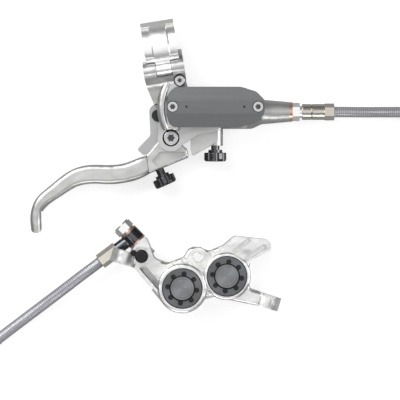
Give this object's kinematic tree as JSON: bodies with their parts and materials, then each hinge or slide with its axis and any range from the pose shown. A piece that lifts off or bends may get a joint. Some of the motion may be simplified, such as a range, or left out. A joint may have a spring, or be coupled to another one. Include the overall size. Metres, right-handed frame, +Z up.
{
  "type": "hydraulic bicycle disc brake set",
  "caption": "Hydraulic bicycle disc brake: bar-clamp lever unit with reservoir and knobs, braided hose and four-piston caliper with slotted mount tabs.",
  "frame": {"origin": "middle of the plan box of lever unit and caliper, on the table they lie on", "axes": "+X along the master cylinder towards the hose, +Y towards the handlebar, +Z up from the table"},
  "size_m": [0.278, 0.2109, 0.0386],
  "materials": {
    "silver": "bright anodised",
    "dark_grey": "dark anodised, brushed",
    "light_grey": "satin",
    "steel": "machined",
    "black_steel": "black oxide",
    "copper": "soft copper",
    "nickel": "nickel plated",
    "black_plastic": "moulded",
    "rubber": "soft",
    "hose": "braided under clear sleeve",
    "friction": "sintered",
    "spring_steel": "wire",
    "piston": "phenolic"
  },
  "bodies": {
    "chassis": {"master_cylinder_body": "silver", "clamp_strap": "silver", "clamp_hinge_pin": "steel", "clamp_bolt": "steel", "hinge_lock_screw": "steel", "reservoir_lid": "dark_grey", "lid_screws": "steel", "reservoir_diaphragm": "rubber", "pivot_pin": "steel", "return_spring": "spring_steel", "piston_circlip": "spring_steel", "union_washer": "copper", "hose_union": "steel", "hose_nut": "nickel", "caliper_body": "silver", "left_bore_cap": "dark_grey", "left_cap_seal": "rubber", "right_bore_cap": "dark_grey", "right_cap_seal": "rubber", "outboard_piston_seals": "rubber", "inboard_piston_seals": "rubber", "pad_pin": "steel", "pad_spring": "spring_steel", "banjo_washers": "copper", "banjo_bolt": "steel", "banjo": "black_steel", "hose_ferrule": "steel", "bleed_nipple": "steel", "bleed_cap": "rubber", "hose_lever_run": "hose", "hose_coil": "hose", "hose_caliper_run": "hose"},
    "actuator": {"actuator_arm": "light_grey"},
    "blade": {"lever_blade": "silver", "pivot_bushes": "black_plastic"},
    "reach_adjuster": {"reach_knob": "black_plastic"},
    "bite_adjuster": {"bite_point_knob": "black_plastic"},
    "push_rod": {"push_rod_barrel": "black_steel", "push_rod": "steel"},
    "master_piston": {"master_piston": "dark_grey", "rear_seal": "rubber", "front_seal": "rubber"},
    "outboard_pad": {"outboard_left_piston": "piston", "outboard_right_piston": "piston", "outboard_pad_backing": "steel", "outboard_pad_friction": "friction"},
    "inboard_pad": {"inboard_left_piston": "piston", "inboard_right_piston": "piston", "inboard_pad_backing": "steel", "inboard_pad_friction": "friction"}
  },
  "joints": [
    {"name": "piston_stroke", "type": "slide", "parent": "chassis", "child": "master_piston", "axis": [1, 0, 0], "range_m": [0, 0.00533], "stiffness_N_per_m": 1500, "deforming": ["return_spring"]},
    {"name": "lever_pull", "type": "hinge", "parent": "chassis", "child": "actuator", "pos_m": [-0.00558, 0.0137, 0.0085], "axis": [0, 0, -1], "range_deg": [0, 24.05]},
    {"name": "reach_adjust", "type": "hinge", "parent": "actuator", "child": "blade", "pos_m": [-0.00558, 0.0137, 0.0085], "axis": [0, 0, 1], "range_deg": [0, 5.88]},
    {"name": "reach_knob_turn", "type": "hinge", "parent": "blade", "child": "reach_adjuster", "pos_m": [-0.01118, -0.0025, 0.0085], "axis": [0.4067, -0.9135, 0], "range_deg": [0, 541]},
    {"name": "bite_knob_turn", "type": "hinge", "parent": "chassis", "child": "bite_adjuster", "pos_m": [0.01662, 0.0101, 0.0085], "axis": [0, -1, 0], "range_deg": [0, 720]},
    {"name": "push_rod_swing", "type": "hinge", "parent": "actuator", "child": "push_rod", "pos_m": [-0.01233, 0.0251, 0.0085], "axis": [0, 0, 1], "range_deg": [0, 17.75]},
    {"name": "outboard_pad_close", "type": "slide", "parent": "chassis", "child": "outboard_pad", "axis": [0, 0, -1], "range_m": [0, 0.000521]},
    {"name": "inboard_pad_close", "type": "slide", "parent": "chassis", "child": "inboard_pad", "axis": [0, 0, 1], "range_m": [0, 0.000521]}
  ],
  "couplings": [
    {"joint": "reach_knob_turn", "follows": "reach_adjust", "ratio": 91.912},
    {"joint": "lever_pull", "follows": "piston_stroke", "rad_per_m": 78.585},
    {"joint": "push_rod_swing", "follows": "piston_stroke", "rad_per_m": 57.957},
    {"joint": "outboard_pad_close", "follows": "piston_stroke", "ratio": 0.09745},
    {"joint": "inboard_pad_close", "follows": "piston_stroke", "ratio": 0.09745}
  ]
}
